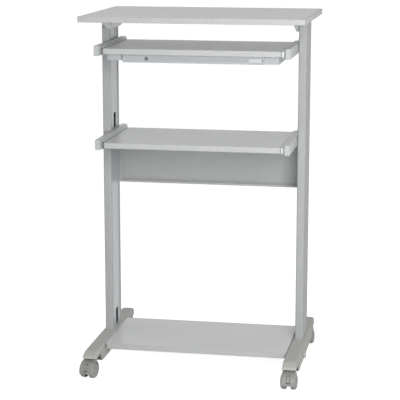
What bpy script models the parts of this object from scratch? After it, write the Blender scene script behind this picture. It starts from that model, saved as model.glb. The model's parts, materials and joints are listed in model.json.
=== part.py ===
"""Mobile computer desk.

Two flat hollow posts stand on castered feet. They carry the top board on steel brackets, a keyboard
shelf and a middle shelf that pull out on slides, a shallow drawer under the keyboard shelf, a
modesty panel and a base shelf. Metres, +Z up. The front of the desk faces -Y, and the origin is on
the floor at the centre of the footprint.
"""
import cmath
import math

import bmesh
import bpy
import numpy

# Gap between pieces that touch, and how far a cutter reaches past what it cuts
SEAT = 0.0003
CUT = 0.010

# Boards
TOP_WIDTH = 0.700
TOP_DEPTH = 0.500
TOP_HEIGHT = 1.140
TOP_REAR_REACH = 0.213  # from the posts' middle back to the top's rear edge
BOARD_THICKNESS = 0.018
BOARD_ROUNDING = 0.0012
SHELF_DEPTH = 0.335
SHELF_FRONT_REACH = 0.268  # from the posts' middle forward to the sliding shelves' front edge
KEYBOARD_DROP = 0.080  # from the top's underside down to the keyboard shelf
SHELF_SPACING = 0.293  # from the keyboard shelf down to the middle shelf
BASE_DEPTH = 0.313
BASE_FRONT_REACH = 0.212
BASE_DROP = 0.001  # from the feet's tops down to the base shelf
BASE_CORNER = 0.012

# Posts, each an open steel profile that is closed by a cover on its inner side
TOP_OVERHANG = 0.019  # from a post's outer side out to the top's end
POST_WIDTH = 0.026
POST_DEPTH = 0.123
POST_WALL = 0.002
POST_LIP = 0.012
POST_CORNER = 0.005
COVER_THICKNESS = 0.002
SLOT_WIDTH = 0.034
SLOT_SETBACK = 0.006  # from the posts' middle back to the slots' middle
SLOT_CORNER = 0.009
SLOT_RISE = 0.001  # from what lies below a cable slot up to the slot
BASE_SLOT_HEIGHT = 0.060
MIDDLE_SLOT_HEIGHT = 0.050
KNOCKOUT_HEIGHT = 0.030  # of the slot above the keyboard shelf, which is not cut through
KNOCKOUT_DEPTH = 0.0012

# Brackets under the top
BRACKET_THICKNESS = 0.003
BRACKET_FLANGE = 0.040
BRACKET_WEB = 0.036
BRACKET_TIP = 0.008
BRACKET_REACH = 0.105  # past the post's front and rear faces
BRACKET_STEPS = 5

# Arms and slides of the sliding shelves
ARM_WIDTH = 0.0155
ARM_HEIGHT = 0.032
ARM_LENGTH = 0.378
ARM_WALL = 0.0015
ARM_END_RADIUS = 0.014
ARM_RISE = 0.008  # from a shelf's top up to its arms' tops
CAP_THICKNESS = 0.004
CAP_TONGUE = 0.012
CAP_ROUNDING = 0.0015
CAP_CORNER = 0.0008
SLIDE_WIDTH = 0.0127
SLIDE_HEIGHT = 0.0256
SLIDE_BACK = 0.0016
SLIDE_RACE = 0.0045  # height of the race above and below the rail
SLIDE_INSET = 0.004  # from the shelf's front edge back to the slides
RAIL_NOSE = 0.003

# Drawer under the keyboard shelf
DRAWER_INSET = 0.0564  # from the keyboard shelf's ends in to the drawer
DRAWER_HEIGHT = 0.0255
DRAWER_DEPTH = 0.230
DRAWER_SETBACK = 0.022  # from the shelf's front edge back to the drawer's front
DRAWER_WALL = 0.0015
DRAWER_FRONT = 0.004
RUNNER_WIDTH = 0.045
RUNNER_CLEARANCE = 0.0022
LEFT_RUNNER_HEIGHT = 0.0193
RIGHT_RUNNER_HEIGHT = 0.0240
LIP_WIDTH = 0.008
LIP_THICKNESS = 0.002
LIP_CLEARANCE = 0.0010  # from a drawer lip up to the shelf's underside
GROOVE_START = 0.091  # from the drawer's left end to the groove
GROOVE_HEIGHT = 0.0075
GROOVE_DEPTH = 0.0015
GROOVE_CORNER = 0.0012
GROOVE_END = 0.048  # from the drawer's right end to the groove's end
LOCK_RADIUS = 0.0045
LOCK_LENGTH = 0.014
LOCK_PROUD = 0.0015
LOCK_CHAMFER = 0.0008
LOCK_END = 0.076  # from the drawer's left end to the lock
PULL_WIDTH = 0.044
PULL_HEIGHT = 0.010
PULL_THICKNESS = 0.0015
PULL_CORNER = 0.002

# Modesty panel, a folded steel pan that is open to the front
PANEL_HEIGHT = 0.157
PANEL_DEPTH = 0.014
PANEL_OVERLAP = 0.006  # from the pan's front to the posts' backs
PANEL_SHEET = 0.0015
PANEL_LIP = 0.007  # turned in round the pan's open front
PANEL_CLEARANCE = 0.008  # below the middle shelf

# Casters
WHEEL_RADIUS = 0.025
WHEEL_WIDTH = 0.018
DOME_WIDTH = 0.0045  # of the tread's rounding into the outer side, along the axle
DOME_FALL = 0.012  # of the same rounding, towards the axle
TREAD_CHAMFER = 0.0015
WHEEL_SIDES = 28
DOME_STEPS = 3
WEB_WIDTH = 0.012
WEB_CLEARANCE = 0.002
AXLE_RADIUS = 0.003
AXLE_END = 0.004  # thickness of a wheel's dome over the axle's end
HOOD_GAP = 0.0025
HOOD_WALL = 0.003
HOOD_WIDTH = 0.043
HOOD_ROUNDING = 0.0025
ROUNDING_STEPS = 6
HOOD_EDGE_DROP = 0.007  # from the axle down to the hood's lower edge
NECK_FRONT = 0.006  # from the stem forward to the front of the hood's flat neck
NECK_REAR = 0.010
NECK_ROUNDING = 0.006  # of the neck's upper edges
NECK_REAR_ROUNDING = 0.014  # of the neck's rear corners, seen from above
TRAIL = 0.017  # from the stem forward to the axle
LEFT_HEADING = math.radians(-11)  # of the front left caster, which stands turned a little outwards
STEM_RADIUS = 0.005
STEM_DEPTH = 0.012  # in the foot
STEM_FOOT = 0.014  # from the axle's height up to the stem's lower end
COLLAR_RADIUS = 0.0085
COLLAR_THICKNESS = 0.002
LEVER_WIDTH = 0.0105
LEVER_THICKNESS = 0.0055
LEVER_PROUD = 0.0008
LEVER_START = math.radians(7)
LEVER_SWEEP = math.radians(41)
LEVER_PLAY = math.radians(6)
LEVER_TRAVEL_DEPTH = 0.0045

# Feet
FOOT_LENGTH = 0.551
FOOT_WIDTH = 0.044
FOOT_REAR_REACH = 0.225  # from the posts' middle back to the feet's rear ends
FOOT_DEPTH = 0.048
FOOT_WALL = 0.005
FOOT_ROUNDING = 0.006
FRONT_CORNER = 0.003  # of the front end, seen from above
REAR_CORNER = 0.017
REAR_RADIUS = 0.009  # of the rear end's upper edge
NOSE_THICKNESS = 0.020
NOSE_CLEARANCE = 0.0075  # above the casters' hoods
NOSE_SLOPE_RUN = 0.026
NOSE_SLOPE_FALL = 0.012
NOSE_RADIUS = 0.025
NOSE_TIP_RADIUS = 0.006
NOSE_LIP_RADIUS = 0.0025
NOTCH_RUN = 0.010
NOTCH_RISE = 0.008
BELLY_SLANT = 0.029
BELLY_RADIUS = 0.004
STEM_INSET = 0.027
SWIVEL_CLEARANCE = 0.002

# Angle brackets and bolts that hold the base shelf
ANGLE_THICKNESS = 0.002
ANGLE_LEG = 0.024
ANGLE_LENGTH = 0.200
ANGLE_LEAD = 0.050  # from the bolt forward to the angle's front end
BOLT_RADIUS = 0.004
BOLT_HEAD_RADIUS = 0.009
BOLT_HEAD = 0.007
BOLT_CHAMFER = 0.003
BOLT_FRONT_REACH = 0.107  # from the posts' middle forward to the bolts
BOLT_RISE = 0.011  # from the feet's underside up to the bolts
BOLT_END = 0.003

# Levels and places that follow from the sizes
HOOD_RADIUS = WHEEL_RADIUS + HOOD_GAP + HOOD_WALL
WHEEL_INNER = WEB_WIDTH / 2 + WEB_CLEARANCE
WHEEL_OUTER = WHEEL_INNER + WHEEL_WIDTH
NOSE_UNDERSIDE = WHEEL_RADIUS + HOOD_RADIUS + NOSE_CLEARANCE
FOOT_TOP = NOSE_UNDERSIDE + NOSE_THICKNESS
FOOT_UNDERSIDE = FOOT_TOP - FOOT_DEPTH
TURNED_REACH = (
    (TRAIL + HOOD_RADIUS - HOOD_ROUNDING) * math.cos(LEFT_HEADING)
    + (HOOD_WIDTH / 2 - HOOD_ROUNDING) * abs(math.sin(LEFT_HEADING)) + HOOD_ROUNDING)
CASTER_OVERHANG = max(TRAIL + HOOD_RADIUS + LEVER_PROUD, TURNED_REACH) - STEM_INSET
FOOT_REAR = (FOOT_LENGTH + CASTER_OVERHANG) / 2
FOOT_FRONT = FOOT_REAR - FOOT_LENGTH
STEM_FRONT = FOOT_FRONT + STEM_INSET
STEM_REAR = FOOT_REAR - STEM_INSET
SWIVEL_REACH = math.hypot(TRAIL + HOOD_RADIUS, max(HOOD_WIDTH / 2, WHEEL_OUTER)) + SWIVEL_CLEARANCE
POST_INNER = TOP_WIDTH / 2 - TOP_OVERHANG - POST_WIDTH
POST_X = POST_INNER + POST_WIDTH / 2
POST_Y = FOOT_REAR - FOOT_REAR_REACH
POST_FRONT = POST_Y - POST_DEPTH / 2
POST_BACK = POST_Y + POST_DEPTH / 2
POST_FOOT = FOOT_TOP + SEAT
FOOT_INNER = POST_X - FOOT_WIDTH / 2
FOOT_OUTER = POST_X + FOOT_WIDTH / 2
TOP_UNDERSIDE = TOP_HEIGHT - BOARD_THICKNESS
KEYBOARD_LEVEL = TOP_UNDERSIDE - KEYBOARD_DROP
MIDDLE_LEVEL = KEYBOARD_LEVEL - SHELF_SPACING
BASE_LEVEL = FOOT_TOP - BASE_DROP
BASE_UNDERSIDE = BASE_LEVEL - BOARD_THICKNESS
SHELF_FRONT = POST_Y - SHELF_FRONT_REACH
ARM_OUTER = POST_INNER - SEAT
ARM_INNER = ARM_OUTER - ARM_WIDTH
SHELF_HALF = ARM_INNER - SLIDE_WIDTH - 2 * SEAT
DRAWER_WIDTH = 2 * (SHELF_HALF - DRAWER_INSET)
RAIL_HEIGHT = SLIDE_HEIGHT - 2 * SLIDE_RACE - 2 * SEAT
SIDES = {"left": -1, "right": 1}


def clear_scene():
    """Empty the scene."""
    for item in list(bpy.data.objects):
        bpy.data.objects.remove(item, do_unlink=True)


def material(name, colour, roughness, metallic=0.0):
    """Plain material of one colour."""
    made = bpy.data.materials.new(name)
    made.use_nodes = True
    shader = made.node_tree.nodes["Principled BSDF"]
    shader.inputs["Base Color"].default_value = (*colour, 1.0)
    shader.inputs["Roughness"].default_value = roughness
    shader.inputs["Metallic"].default_value = metallic
    made.diffuse_color = (*colour, 1.0)
    return made


def mesh_from(name, bm):
    """Close a bmesh into a mesh with its faces pointing out."""
    bmesh.ops.recalc_face_normals(bm, faces=bm.faces)
    mesh = bpy.data.meshes.new(name)
    bm.to_mesh(mesh)
    bm.free()
    return mesh


def node(name, mesh, finish, at=(0, 0, 0), parent=None):
    """One named piece of the desk."""
    mesh.shade_smooth()
    mesh.set_sharp_from_angle(angle=math.radians(35))
    piece = bpy.data.objects.new(name, mesh)
    piece.data.materials.append(finish)
    piece.location = at
    piece.parent = parent
    bpy.context.scene.collection.objects.link(piece)
    return piece


def helper(name, mesh, parent=None, at=(0, 0, 0)):
    """Guide object for a Boolean, which is not a piece of the desk."""
    guide = bpy.data.objects.new(name, mesh)
    guide.location = at
    guide.parent = parent
    guide.hide_render = True
    guide.display_type = "WIRE"
    bpy.context.scene.collection.objects.link(guide)
    return guide


def combine(piece, operation, mesh):
    """Cut a mesh out of a piece, or join one to it, in the piece's own frame."""
    guide = helper(f"{piece.name}.{operation.lower()}", mesh, piece.parent, piece.location)
    step = piece.modifiers.new(operation.title(), "BOOLEAN")
    step.operation = operation
    step.object = guide
    step.solver = "EXACT"


def round_edges(piece, width, segments=2):
    """Round the sharp edges of a piece."""
    step = piece.modifiers.new("Rounding", "BEVEL")
    step.width = width
    step.segments = segments
    step.limit_method = "ANGLE"
    step.angle_limit = math.radians(50)


def fillet(corners, steps=4):
    """Outline through corners (a, b, radius), with an arc in place of each rounded corner."""
    outline = []
    for i, (a, b, radius) in enumerate(corners):
        here = complex(a, b)
        if radius == 0:
            outline.append((a, b))
            continue
        before = complex(*corners[i - 1][:2]) - here
        after = complex(*corners[(i + 1) % len(corners)][:2]) - here
        before /= abs(before)
        after /= abs(after)
        half = abs(cmath.phase(after / before)) / 2
        centre = here + (before + after) / abs(before + after) * radius / math.sin(half)
        first = here + before * radius / math.tan(half) - centre
        last = here + after * radius / math.tan(half) - centre
        turn = cmath.phase(last / first)
        bend = [centre + first * cmath.exp(1j * turn * k / steps) for k in range(steps + 1)]
        outline += [(point.real, point.imag) for point in bend]
    return outline


def rectangle(low_a, high_a, low_b, high_b, radius=0.0, steps=4):
    """Outline of a rectangle with rounded corners."""
    corners = ((low_a, low_b), (high_a, low_b), (high_a, high_b), (low_a, high_b))
    return fillet([(a, b, radius) for a, b in corners], steps)


def arc(centre, radius, start, end, steps):
    """Points on an arc."""
    angles = [start + (end - start) * k / steps for k in range(steps + 1)]
    return [(centre[0] + radius * math.cos(t), centre[1] + radius * math.sin(t)) for t in angles]


def place(axis, a, b, along):
    """Point of an outline on the plane that crosses an axis."""
    return {"x": (along, a, b), "y": (a, along, b), "z": (a, b, along)}[axis]


def add_loft(bm, axis, sections):
    """Solid through outlines of equal length, given as (place along the axis, outline)."""
    rings = [[bm.verts.new(place(axis, a, b, along)) for a, b in outline] for along, outline in sections]
    for first, second in zip(rings, rings[1:]):
        for i in range(len(first)):
            bm.faces.new((first[i - 1], first[i], second[i], second[i - 1]))
    bm.faces.new(rings[0])
    bm.faces.new(rings[-1])


def add_turned(bm, axis, profile, sides, centre=(0, 0), phase=0.0):
    """Solid of revolution from a profile of (radius, place along the axis)."""
    rings = []
    for radius, along in profile:
        ring = [centre]
        if radius > 0:
            ring = arc(centre, radius, phase, phase + 2 * math.pi, sides)[:-1]
        rings.append([bm.verts.new(place(axis, a, b, along)) for a, b in ring])
    for first, second in zip(rings, rings[1:]):
        for k in range(sides):
            if len(first) == 1:
                bm.faces.new((first[0], second[k], second[k - 1]))
            elif len(second) == 1:
                bm.faces.new((first[k - 1], first[k], second[0]))
            else:
                bm.faces.new((first[k - 1], first[k], second[k], second[k - 1]))
    for ring in (rings[0], rings[-1]):
        if len(ring) > 1:
            bm.faces.new(ring)


def loft(name, axis, sections):
    """Mesh of one lofted solid."""
    bm = bmesh.new()
    add_loft(bm, axis, sections)
    return mesh_from(name, bm)


def prism(name, axis, outline, low, high):
    """Mesh of an outline extruded along an axis."""
    return loft(name, axis, [(low, outline), (high, outline)])


def turned(name, axis, profile, sides, centre=(0, 0), phase=0.0):
    """Mesh of one turned solid."""
    bm = bmesh.new()
    add_turned(bm, axis, profile, sides, centre, phase)
    return mesh_from(name, bm)


def rods(name, axis, places, radius, low, high, sides=16):
    """Mesh of parallel round rods."""
    bm = bmesh.new()
    for centre in places:
        add_turned(bm, axis, [(radius, low), (radius, high)], sides, centre)
    return mesh_from(name, bm)


def add_board(name, finish, width, depth, level, rear):
    """Flat board with its origin at the middle of its upper face."""
    outline = rectangle(-width / 2, width / 2, -depth / 2, depth / 2)
    mesh = prism(name, "z", outline, -BOARD_THICKNESS, 0)
    board = node(name, mesh, finish, at=(0, rear - depth / 2, level))
    round_edges(board, BOARD_ROUNDING)


def add_base_shelf(finish):
    """Fixed shelf between the feet, with rounded corners."""
    half = FOOT_INNER - SEAT
    outline = rectangle(-half, half, -BASE_DEPTH / 2, BASE_DEPTH / 2, BASE_CORNER)
    mesh = prism("base_shelf", "z", outline, -BOARD_THICKNESS, 0)
    middle = POST_Y - BASE_FRONT_REACH + BASE_DEPTH / 2
    shelf = node("base_shelf", mesh, finish, at=(0, middle, BASE_LEVEL))
    round_edges(shelf, BOARD_ROUNDING)


def add_post(side, finish):
    """Open steel profile with lips along its inner side."""
    sign = SIDES[side]
    inner = sign * POST_INNER
    outer = sign * (POST_INNER + POST_WIDTH)
    wall = sign * POST_WALL
    half = POST_DEPTH / 2
    bay = half - POST_WALL
    lip = half - POST_LIP
    bend = POST_CORNER - POST_WALL
    corners = [
        (inner, -lip, 0), (inner, -half, POST_CORNER), (outer, -half, POST_CORNER),
        (outer, half, POST_CORNER), (inner, half, POST_CORNER), (inner, lip, 0),
        (inner + wall, lip, 0), (inner + wall, bay, bend), (outer - wall, bay, bend),
        (outer - wall, -bay, bend), (inner + wall, -bay, bend), (inner + wall, -lip, 0),
    ]
    height = TOP_UNDERSIDE - SEAT - POST_FOOT
    mesh = prism(f"{side}_post", "z", fillet(corners), 0, height)
    node(f"{side}_post", mesh, finish, at=(0, POST_Y, POST_FOOT))


def cable_slots():
    """Low and high ends of the open cable slots, above the base shelf and the middle shelf."""
    above_base = POST_FOOT + SLOT_RISE
    above_middle = MIDDLE_LEVEL + ARM_RISE + SLOT_RISE
    return [(above_base, above_base + BASE_SLOT_HEIGHT), (above_middle, above_middle + MIDDLE_SLOT_HEIGHT)]


def add_cable_cover(side, finish):
    """Strip behind a post's lips, with two cable slots and a knock-out for a third."""
    sign = SIDES[side]
    face = sign * (POST_INNER + POST_WALL + SEAT)
    back = face + sign * COVER_THICKNESS
    half = POST_DEPTH / 2 - POST_CORNER
    outline = rectangle(-half, half, POST_FOOT, TOP_UNDERSIDE - SEAT)
    cover = node(f"{side}_cable_cover", prism("cover", "x", outline, face, back), finish, at=(0, POST_Y, 0))
    cuts = [(low, high, back + sign * CUT) for low, high in cable_slots()]
    knockout = KEYBOARD_LEVEL + ARM_RISE + SLOT_RISE
    cuts.append((knockout, knockout + KNOCKOUT_HEIGHT, face + sign * KNOCKOUT_DEPTH))
    bm = bmesh.new()
    for low, high, end in cuts:
        slot = rectangle(
            SLOT_SETBACK - SLOT_WIDTH / 2, SLOT_SETBACK + SLOT_WIDTH / 2, low, high, SLOT_CORNER)
        add_loft(bm, "x", [(face - sign * CUT, slot), (end, slot)])
    combine(cover, "DIFFERENCE", mesh_from("slots", bm))


def add_top_bracket(side, finish):
    """Angle under the top whose web curves up to a tip before and behind the post."""
    sign = SIDES[side]
    top = TOP_UNDERSIDE - SEAT
    web = sign * ARM_OUTER
    web_back = web - sign * BRACKET_THICKNESS
    flange = web - sign * BRACKET_FLANGE
    shares = [step / BRACKET_STEPS for step in range(BRACKET_STEPS + 1)]
    drops = [BRACKET_TIP + (BRACKET_WEB - BRACKET_TIP) * math.cos(math.pi / 2 * share) for share in shares]
    front = [(POST_FRONT - BRACKET_REACH * share, drop) for share, drop in zip(shares, drops)]
    rear = [(POST_BACK + BRACKET_REACH * share, drop) for share, drop in zip(shares, drops)]
    sections = []
    for along, drop in front[::-1] + rear:
        outline = [
            (web, 0), (web, -drop), (web_back, -drop), (web_back, -BRACKET_THICKNESS),
            (flange, -BRACKET_THICKNESS), (flange, 0),
        ]
        sections.append((along, outline))
    node(f"{side}_top_bracket", loft("top_bracket", "y", sections), finish, at=(0, 0, top))


def add_modesty_panel(finish):
    """Folded pan between the posts' backs, with a lip turned in round its open front."""
    half = POST_INNER - SEAT
    top = MIDDLE_LEVEL - BOARD_THICKNESS - PANEL_CLEARANCE
    front = POST_BACK - PANEL_OVERLAP
    outline = rectangle(-half, half, -PANEL_HEIGHT, 0)
    panel = node("modesty_panel", prism("panel", "y", outline, 0, PANEL_DEPTH), finish, at=(0, front, top))
    inside = half - PANEL_SHEET
    lip = half - PANEL_LIP
    mouth = rectangle(-lip, lip, PANEL_LIP - PANEL_HEIGHT, -PANEL_LIP)
    hollow = rectangle(-inside, inside, PANEL_SHEET - PANEL_HEIGHT, -PANEL_SHEET)
    sections = [
        (-CUT, mouth), (PANEL_SHEET, mouth), (PANEL_SHEET, hollow), (PANEL_DEPTH - PANEL_SHEET, hollow),
    ]
    combine(panel, "DIFFERENCE", loft("hollow", "y", sections))


def add_arm(shelf, side, level, finish, cap_finish):
    """Hollow arm on a post's inner face, with a cap in its front end."""
    sign = SIDES[side]
    low_x, high_x = sorted((sign * ARM_INNER, sign * ARM_OUTER))
    top = level + ARM_RISE
    front = SHELF_FRONT + CAP_THICKNESS + SEAT
    rear = SHELF_FRONT + ARM_LENGTH
    side_view = fillet([
        (front, -ARM_HEIGHT, 0), (rear, -ARM_HEIGHT, ARM_END_RADIUS),
        (rear, 0, ARM_END_RADIUS), (front, 0, 0),
    ])
    arm = node(f"{side}_{shelf}_arm", prism("arm", "x", side_view, low_x, high_x), finish, at=(0, 0, top))
    bore = rectangle(low_x + ARM_WALL, high_x - ARM_WALL, ARM_WALL - ARM_HEIGHT, -ARM_WALL)
    combine(arm, "DIFFERENCE", prism("bore", "y", bore, front - CUT, rear - ARM_END_RADIUS))

    def section(margin):
        return rectangle(low_x + margin, high_x - margin, margin - ARM_HEIGHT, -margin, CAP_CORNER, steps=2)

    tongue = ARM_WALL + SEAT
    back = SHELF_FRONT + CAP_THICKNESS
    sections = [
        (SHELF_FRONT, section(CAP_ROUNDING)), (SHELF_FRONT + CAP_ROUNDING, section(0)), (back, section(0)),
        (back, section(tongue)), (back + CAP_TONGUE, section(tongue)),
    ]
    node(f"{side}_{shelf}_cap", loft("cap", "y", sections), cap_finish, at=(0, 0, top))


def add_slide(shelf, side, level, finish):
    """Slide between an arm and a shelf: a fixed race and the rail that runs in it."""
    sign = SIDES[side]
    middle = level - BOARD_THICKNESS / 2
    front = SHELF_FRONT + SLIDE_INSET
    rear = SHELF_FRONT + SHELF_DEPTH
    back = sign * (ARM_INNER - SEAT)
    floor = back - sign * SLIDE_BACK
    mouth = sign * (SHELF_HALF + 2 * SEAT + SLIDE_BACK)
    half = SLIDE_HEIGHT / 2
    gap = half - SLIDE_RACE
    race = [
        (back, -half), (back, half), (mouth, half), (mouth, gap),
        (floor, gap), (floor, -gap), (mouth, -gap), (mouth, -half),
    ]
    node(f"{side}_{shelf}_race", prism("race", "y", race, front, rear), finish, at=(0, 0, middle))
    low_x, high_x = sorted((sign * (SHELF_HALF + SEAT), floor - sign * SEAT))

    def section(margin):
        return rectangle(low_x, high_x, margin - RAIL_HEIGHT / 2, RAIL_HEIGHT / 2 - margin)

    sections = [
        (front, section(RAIL_NOSE)), (front + RAIL_NOSE, section(0)), (rear, section(0)),
    ]
    node(f"{side}_{shelf}_rail", loft("rail", "y", sections), finish, at=(0, 0, middle))


def add_runner(side, height, finish):
    """Block under the keyboard shelf, with a ledge for the drawer's lip."""
    sign = SIDES[side]
    inner = sign * (DRAWER_WIDTH / 2 + RUNNER_CLEARANCE)
    ledge = inner + sign * (LIP_WIDTH + RUNNER_CLEARANCE)
    outer = inner + sign * RUNNER_WIDTH
    top = KEYBOARD_LEVEL - BOARD_THICKNESS - SEAT
    step = LIP_CLEARANCE + LIP_THICKNESS
    outline = [
        (inner, -step), (ledge, -step), (ledge, 0), (outer, 0),
        (outer, -height), (inner, -height),
    ]
    front = SHELF_FRONT + DRAWER_SETBACK
    mesh = prism("runner", "y", outline, 0, DRAWER_DEPTH)
    node(f"{side}_drawer_runner", mesh, finish, at=(0, front, top))


def add_drawer(finish, lock_finish):
    """Shallow tray that hangs by its lips, with a lock and a finger pull."""
    half = DRAWER_WIDTH / 2
    front = SHELF_FRONT + DRAWER_SETBACK
    lip_top = KEYBOARD_LEVEL - BOARD_THICKNESS - LIP_CLEARANCE
    height = DRAWER_HEIGHT - LIP_CLEARANCE
    middle = -height / 2
    shell = prism("drawer", "y", rectangle(-half, half, -height, 0), 0, DRAWER_DEPTH)
    drawer = node("drawer_tray", shell, finish, at=(0, front, lip_top))
    bm = bmesh.new()
    for sign in SIDES.values():
        low_x, high_x = sorted((sign * (half - DRAWER_WALL / 2), sign * (half + LIP_WIDTH)))
        lip = rectangle(low_x, high_x, -LIP_THICKNESS, 0)
        add_loft(bm, "y", [(DRAWER_FRONT, lip), (DRAWER_DEPTH - DRAWER_WALL, lip)])
    combine(drawer, "UNION", mesh_from("lips", bm))
    inside = half - DRAWER_WALL
    hollow = rectangle(-inside, inside, DRAWER_FRONT, DRAWER_DEPTH - DRAWER_WALL)
    combine(drawer, "DIFFERENCE", prism("hollow", "z", hollow, DRAWER_WALL - height, CUT))
    groove = rectangle(
        GROOVE_START - half, half - GROOVE_END, middle - GROOVE_HEIGHT / 2, middle + GROOVE_HEIGHT / 2,
        GROOVE_CORNER)
    combine(drawer, "DIFFERENCE", prism("groove", "y", groove, -CUT, GROOVE_DEPTH))
    lock_x = LOCK_END - half
    bore = rods("bore", "y", [(lock_x, middle)], LOCK_RADIUS + SEAT, -CUT, DRAWER_FRONT + CUT)
    combine(drawer, "DIFFERENCE", bore)

    lock = turned("lock", "y", [
        (LOCK_RADIUS - LOCK_CHAMFER, -LOCK_PROUD), (LOCK_RADIUS, LOCK_CHAMFER - LOCK_PROUD),
        (LOCK_RADIUS, LOCK_LENGTH),
    ], 16)
    node("drawer_lock", lock, lock_finish, at=(lock_x, front, lip_top + middle))

    right = half - SEAT
    pull = rectangle(
        right - PULL_WIDTH, right, middle - PULL_HEIGHT / 2, middle + PULL_HEIGHT / 2, PULL_CORNER)
    mesh = prism("pull", "y", pull, -PULL_THICKNESS - SEAT, -SEAT)
    node("drawer_pull", mesh, finish, at=(0, front, lip_top))


def foot_lines():
    """Lines along a foot from front to rear: top (y, z), underside (y, z) and plan (y, half width)."""
    notch = SWIVEL_REACH - BELLY_SLANT
    shoulder = FOOT_TOP - NOSE_SLOPE_FALL
    top = [
        (FOOT_FRONT, NOSE_UNDERSIDE, 0), (FOOT_FRONT, shoulder, NOSE_TIP_RADIUS),
        (FOOT_FRONT + NOSE_SLOPE_RUN, FOOT_TOP, NOSE_RADIUS),
        (FOOT_REAR, FOOT_TOP, REAR_RADIUS), (FOOT_REAR, NOSE_UNDERSIDE, 0),
    ]
    underside = [
        (FOOT_FRONT, FOOT_TOP, 0), (FOOT_FRONT, NOSE_UNDERSIDE, NOSE_LIP_RADIUS),
        (STEM_FRONT + notch - NOTCH_RUN, NOSE_UNDERSIDE, 0),
        (STEM_FRONT + notch, NOSE_UNDERSIDE + NOTCH_RISE, 0),
        (STEM_FRONT + SWIVEL_REACH, FOOT_UNDERSIDE, BELLY_RADIUS),
        (STEM_REAR - SWIVEL_REACH, FOOT_UNDERSIDE, BELLY_RADIUS),
        (STEM_REAR - notch, NOSE_UNDERSIDE + NOTCH_RISE, 0),
        (STEM_REAR - notch + NOTCH_RUN, NOSE_UNDERSIDE, 0),
        (FOOT_REAR, NOSE_UNDERSIDE, NOSE_LIP_RADIUS), (FOOT_REAR, FOOT_TOP, 0),
    ]
    half = FOOT_WIDTH / 2
    plan = [
        (FOOT_FRONT, 0, 0), (FOOT_FRONT, half, FRONT_CORNER), (FOOT_REAR, half, REAR_CORNER),
        (FOOT_REAR, 0, 0),
    ]
    return [fillet(corners)[1:-1] for corners in (top, underside, plan)]


def foot_sections():
    """Cross-sections of a foot, (y, outline), flat below and rounded above."""
    lines = foot_lines()
    places = sorted({round(y, 5) for line in lines for y, level in line})
    sections = []
    for along in places:
        high, low, half = [numpy.interp(along, *zip(*line)) for line in lines]
        rounding = min(FOOT_ROUNDING, (high - low) / 2)
        corners = [(-half, low, 0), (half, low, 0), (half, high, rounding), (-half, high, rounding)]
        sections.append((along, fillet(corners)))
    return sections


def add_foot(side, finish):
    """Cast foot under a post, hollow below, with a socket for each caster's stem."""
    sign = SIDES[side]
    foot = node(f"{side}_foot", loft("foot", "y", foot_sections()), finish, at=(sign * POST_X, 0, 0))
    half = FOOT_WIDTH / 2
    inside = half - FOOT_WALL
    reach = SWIVEL_REACH + BELLY_RADIUS + FOOT_WALL
    pocket = rectangle(-inside, inside, STEM_FRONT + reach, STEM_REAR - reach, FOOT_WALL)
    combine(foot, "DIFFERENCE", prism("pocket", "z", pocket, FOOT_UNDERSIDE - CUT, FOOT_TOP - FOOT_WALL))
    stems = [(0, STEM_FRONT), (0, STEM_REAR)]
    socket_top = NOSE_UNDERSIDE + STEM_DEPTH + 2 * SEAT
    sockets = rods("sockets", "z", stems, STEM_RADIUS + SEAT, NOSE_UNDERSIDE - CUT, socket_top)
    combine(foot, "DIFFERENCE", sockets)
    combine(foot, "DIFFERENCE", bolt_hole(-half - CUT, half + CUT))


def bolt_hole(low, high):
    """Cutter for the bolt that crosses a foot."""
    place_yz = (POST_Y - BOLT_FRONT_REACH, FOOT_UNDERSIDE + BOLT_RISE)
    return rods("bolt_hole", "x", [place_yz], BOLT_RADIUS + SEAT, low, high)


def add_base_fixing(side, angle_finish, bolt_finish):
    """Angle bracket under the base shelf, and the bolt that holds it to the foot."""
    sign = SIDES[side]
    face = sign * (FOOT_INNER - SEAT)
    leg = face - sign * ANGLE_THICKNESS
    tip = face - sign * ANGLE_LEG
    top = BASE_UNDERSIDE - SEAT
    outline = [
        (face, top), (face, top - ANGLE_LEG), (leg, top - ANGLE_LEG), (leg, top - ANGLE_THICKNESS),
        (tip, top - ANGLE_THICKNESS), (tip, top),
    ]
    middle = POST_Y - BOLT_FRONT_REACH
    mesh = prism("angle", "y", outline, middle - ANGLE_LEAD, middle - ANGLE_LEAD + ANGLE_LENGTH)
    angle = node(f"{side}_shelf_angle", mesh, angle_finish)
    low, high = sorted((face + sign * CUT, leg - sign * CUT))
    combine(angle, "DIFFERENCE", bolt_hole(low, high))

    head = sign * (FOOT_OUTER + SEAT)
    profile = [
        (BOLT_RADIUS, leg - sign * BOLT_END), (BOLT_RADIUS, head), (BOLT_HEAD_RADIUS, head),
        (BOLT_HEAD_RADIUS, head + sign * (BOLT_HEAD - BOLT_CHAMFER)),
        (BOLT_HEAD_RADIUS - BOLT_CHAMFER, head + sign * BOLT_HEAD),
    ]
    mesh = turned("bolt", "x", profile, 20)
    node(f"{side}_foot_bolt", mesh, bolt_finish, at=(0, middle, FOOT_UNDERSIDE + BOLT_RISE))


def rounded_in(gap, radius):
    """How far a rounded edge lies inside, at a gap from the side that it runs into."""
    if gap >= radius:
        return 0.0
    return radius - math.sqrt(radius ** 2 - (radius - gap) ** 2)


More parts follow.
